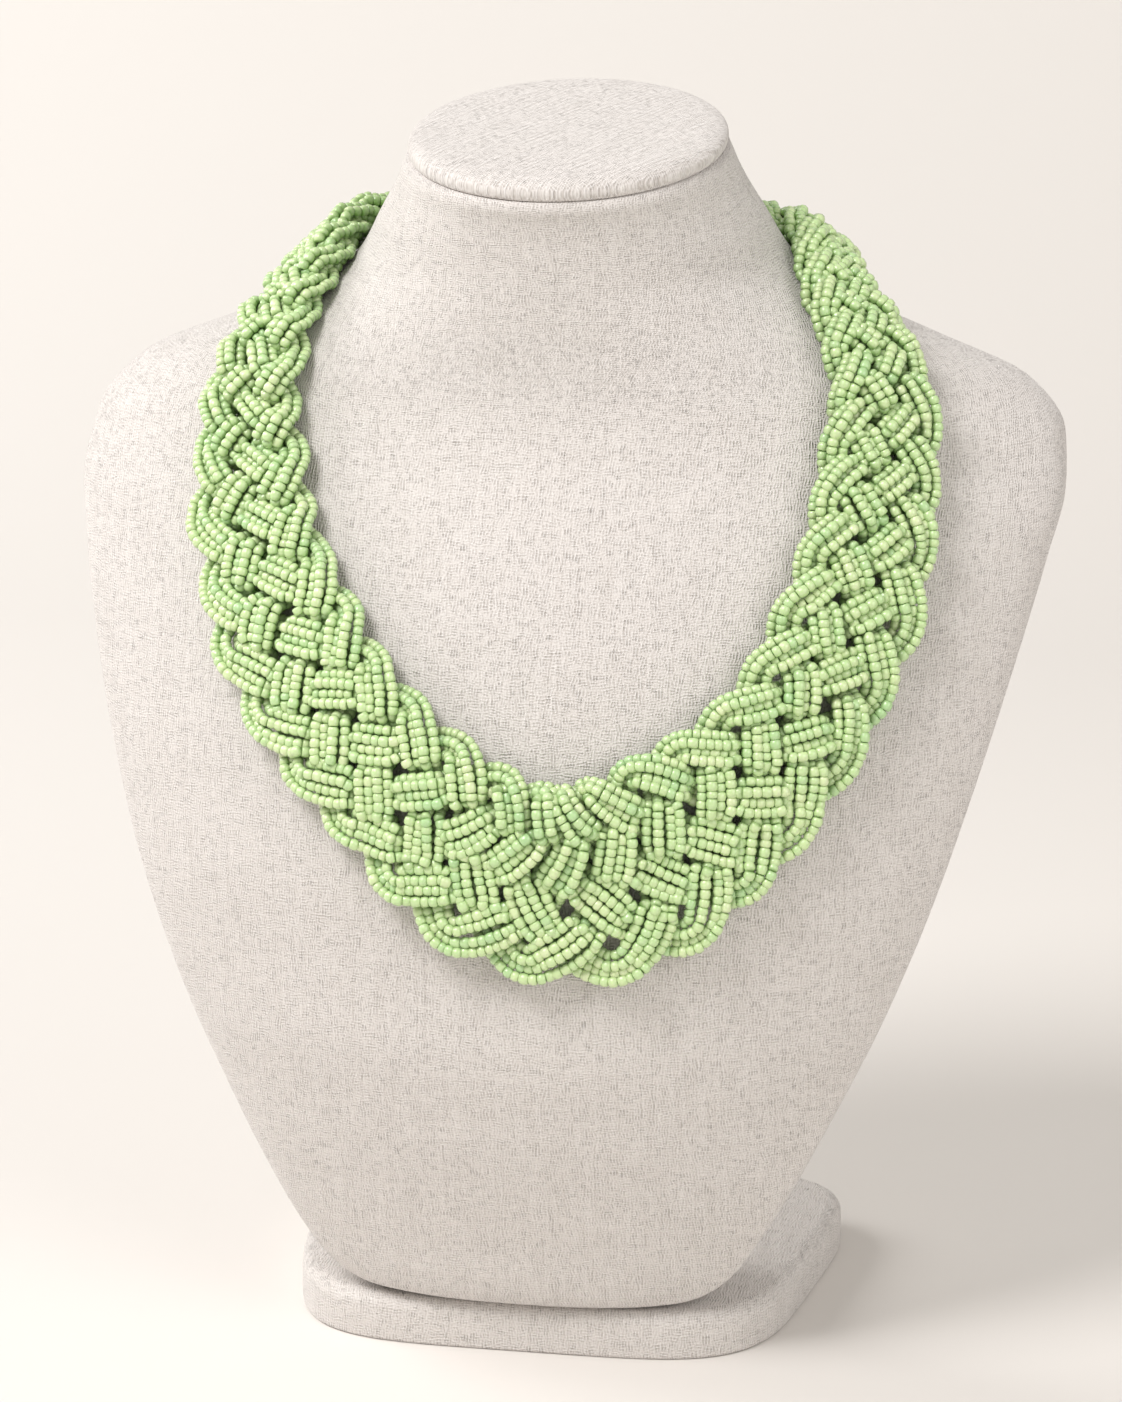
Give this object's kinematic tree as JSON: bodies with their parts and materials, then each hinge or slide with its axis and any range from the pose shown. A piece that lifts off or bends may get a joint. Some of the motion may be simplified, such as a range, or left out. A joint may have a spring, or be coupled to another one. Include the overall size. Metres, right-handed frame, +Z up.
{
  "type": "braided bead necklace on neck bust",
  "caption": "Flat collar necklace braided from bundles of small beaded strings, tapering to a clasp at the nape, shown on a padded cloth-covered neck bust with a slab base.",
  "frame": {"origin": "middle of the whole object's box, on the ground under the base", "axes": "+Z up, front of the bust towards -Y, +X to the wearer's left"},
  "size_m": [0.254, 0.1524, 0.3105],
  "materials": {
    "linen": "matt woven linen",
    "mint_beads": "satin opaque glass",
    "gold_metal": "satin gold colour"
  },
  "bodies": {
    "root": {"bust_body": "linen", "neck_cap": "linen", "base": "linen", "braid_strand_1": "mint_beads", "braid_strand_2": "mint_beads", "braid_strand_3": "mint_beads", "braid_strand_4": "mint_beads", "braid_strand_5": "mint_beads", "clasp": "gold_metal"}
  },
  "joints": []
}
